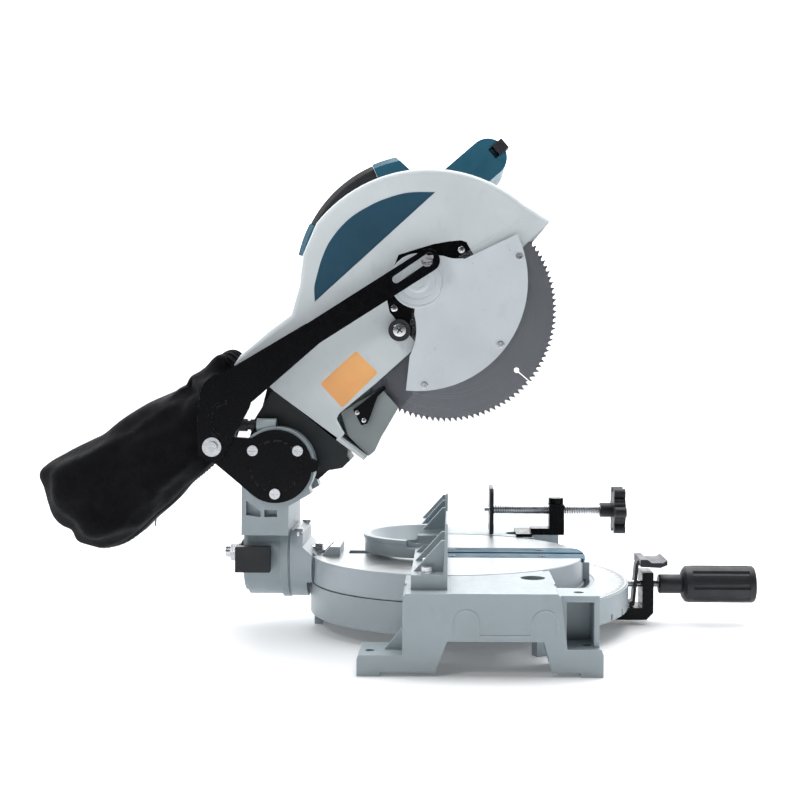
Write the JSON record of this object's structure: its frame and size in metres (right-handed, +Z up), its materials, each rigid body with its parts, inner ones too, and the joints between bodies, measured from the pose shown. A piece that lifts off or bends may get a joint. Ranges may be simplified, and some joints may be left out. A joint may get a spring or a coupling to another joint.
{
  "type": "compound mitre saw",
  "caption": "Compound mitre saw: cast base, rotating table with fence, tilting arm holder, pivoting blade head with clear lower guard, dust bag and screw vise.",
  "frame": {"origin": "centre of the four bench bolt holes, on the bench plane", "axes": "+Z up; +Y to the rear, from the operator towards the arm; +X to the operator's right, where the motor is"},
  "size_m": [0.5136, 0.817, 0.5582],
  "materials": {
    "cast_paint": "satin light grey paint over cast alloy",
    "turntable_alloy": "painted sides, machined top",
    "scale_metal": "etched plate with plain graduations",
    "zinc_steel": "bright zinc plate",
    "bright_steel": "ground steel",
    "black_steel": "gloss black coat",
    "grey_steel": "dark grey coat",
    "blade_steel": "ground tool steel",
    "gear_bronze": "machined bronze",
    "motor_copper": "windings and laminations",
    "stator_steel": "laminated steel",
    "teal_plastic": "fine moulded grain",
    "dark_plastic": "moulded dark grey",
    "arm_paint": "dark paint over cast alloy",
    "chute_plastic": "moulded grey",
    "kerf_plastic": "moulded blue",
    "guard_paint": "light grey paint",
    "bag_fabric": "woven black fabric",
    "clear_plastic": "clear polycarbonate"
  },
  "bodies": {
    "base": {"base_casting": "cast_paint", "mitre_scale": "scale_metal", "fence": "cast_paint", "fence_bolts": "zinc_steel", "vise_block": "black_steel"},
    "table": {"turntable": "turntable_alloy", "kerf_boards": "kerf_plastic", "kerf_screws": "black_steel", "front_bracket": "black_steel", "centre_bolt": "zinc_steel", "bevel_bolt": "zinc_steel", "stop_bolts": "zinc_steel"},
    "detent": {"detent_lever": "grey_steel"},
    "grip": {"mitre_grip": "dark_plastic", "grip_rod": "zinc_steel"},
    "tilt": {"arm_holder": "cast_paint", "pivot_shaft": "bright_steel", "return_spring": "bright_steel", "side_plate": "black_steel", "side_plate_screws": "zinc_steel", "link_bolt": "zinc_steel"},
    "bevel_lock": {"bevel_lever": "dark_plastic"},
    "stopper": {"stopper_pin": "dark_plastic"},
    "head": {"upper_guard": "cast_paint", "head_arm": "arm_paint", "gear_housing": "cast_paint", "bearings": "bright_steel", "motor_housing": "teal_plastic", "motor_stator": "stator_steel", "motor_cover": "dark_plastic", "brush_caps": "dark_plastic", "cord_inlet": "dark_plastic", "handle_lower": "teal_plastic", "handle_upper": "teal_plastic", "carry_mount": "teal_plastic", "carry_grip": "dark_plastic", "dust_chute": "chute_plastic", "chute_bracket": "black_steel", "dust_bag": "bag_fabric", "bag_collar": "dark_plastic", "centre_plate": "black_steel", "guard_roller": "dark_plastic"},
    "blade": {"saw_blade": "blade_steel", "blade_flanges": "bright_steel", "arbor_bolt": "black_steel", "spindle": "bright_steel", "spindle_gear": "gear_bronze"},
    "armature": {"armature_shaft": "bright_steel", "armature_core": "motor_copper", "motor_fan": "dark_plastic"},
    "guard": {"lower_guard": "clear_plastic", "guard_plate": "guard_paint", "guard_screws": "zinc_steel"},
    "link": {"guard_link": "black_steel"},
    "trigger": {"trigger": "dark_plastic"},
    "lock_off": {"lock_off_button": "dark_plastic"},
    "vise_carriage": {"vise_pad": "grey_steel"},
    "vise_spindle": {"vise_screw": "zinc_steel", "vise_knob": "dark_plastic"}
  },
  "joints": [
    {"name": "mitre", "type": "hinge", "parent": "base", "child": "table", "pos_m": [0, 0.03, 0.078], "axis": [0, 0, 1], "range_deg": [-45, 45]},
    {"name": "detent_press", "type": "hinge", "parent": "table", "child": "detent", "pos_m": [0, -0.1795, 0.0225], "axis": [1, 0, 0], "range_deg": [0, 3], "stiffness_Nm_per_rad": 3, "springref_deg": -2.86},
    {"name": "grip_turn", "type": "hinge", "parent": "table", "child": "grip", "pos_m": [0, -0.21, 0.044], "axis": [0, 1, 0], "range_deg": [-90, 90]},
    {"name": "bevel", "type": "hinge", "parent": "table", "child": "tilt", "pos_m": [0, 0.23, 0.078], "axis": [0, 1, 0], "range_deg": [-45, 0]},
    {"name": "bevel_lock_turn", "type": "hinge", "parent": "tilt", "child": "bevel_lock", "pos_m": [0, 0.26, 0.078], "axis": [0, 1, 0], "range_deg": [-30, 0]},
    {"name": "stopper_pull", "type": "slide", "parent": "tilt", "child": "stopper", "axis": [0, 1, 0], "range_m": [0, 0.008], "stiffness_N_per_m": 300, "springref_m": -0.004},
    {"name": "chop", "type": "hinge", "parent": "tilt", "child": "head", "pos_m": [0, 0.2188, 0.1798], "axis": [1, 0, 0], "range_deg": [0, 39], "stiffness_Nm_per_rad": 20, "springref_deg": -103.13},
    {"name": "blade_spin", "type": "hinge", "parent": "head", "child": "blade", "pos_m": [0, 0.034, 0.354], "axis": [1, 0, 0], "continuous": true},
    {"name": "armature_spin", "type": "hinge", "parent": "head", "child": "armature", "pos_m": [0, 0.06474, 0.38404], "axis": [1, 0, 0], "continuous": true},
    {"name": "guard_open", "type": "hinge", "parent": "head", "child": "guard", "pos_m": [0, 0.06474, 0.38404], "axis": [1, 0, 0], "range_deg": [-100.5, 0]},
    {"name": "link_swing", "type": "hinge", "parent": "tilt", "child": "link", "pos_m": [0, 0.2871, 0.2009], "axis": [1, 0, 0], "range_deg": [0, 30.5]},
    {"name": "trigger_squeeze", "type": "slide", "parent": "head", "child": "trigger", "axis": [0, -0.7547, 0.6561], "range_m": [0, 0.005], "stiffness_N_per_m": 900, "springref_m": -0.003},
    {"name": "lock_off_press", "type": "slide", "parent": "head", "child": "lock_off", "axis": [0, 0.7547, -0.6561], "range_m": [0, 0.004], "stiffness_N_per_m": 700, "springref_m": -0.002},
    {"name": "vise_travel", "type": "slide", "parent": "base", "child": "vise_carriage", "axis": [0, 1, 0], "range_m": [0, 0.044]},
    {"name": "vise_turn", "type": "hinge", "parent": "vise_carriage", "child": "vise_spindle", "pos_m": [0.16, -0.11, 0.109], "axis": [0, 1, 0], "range_deg": [0, 5281]}
  ],
  "couplings": [
    {"joint": "armature_spin", "follows": "blade_spin", "ratio": -4.5},
    {"joint": "guard_open", "follows": "chop", "ratio": -2.564},
    {"joint": "link_swing", "follows": "chop", "ratio": 0.7717},
    {"joint": "vise_turn", "follows": "vise_travel", "rad_per_m": 2094.4}
  ]
}
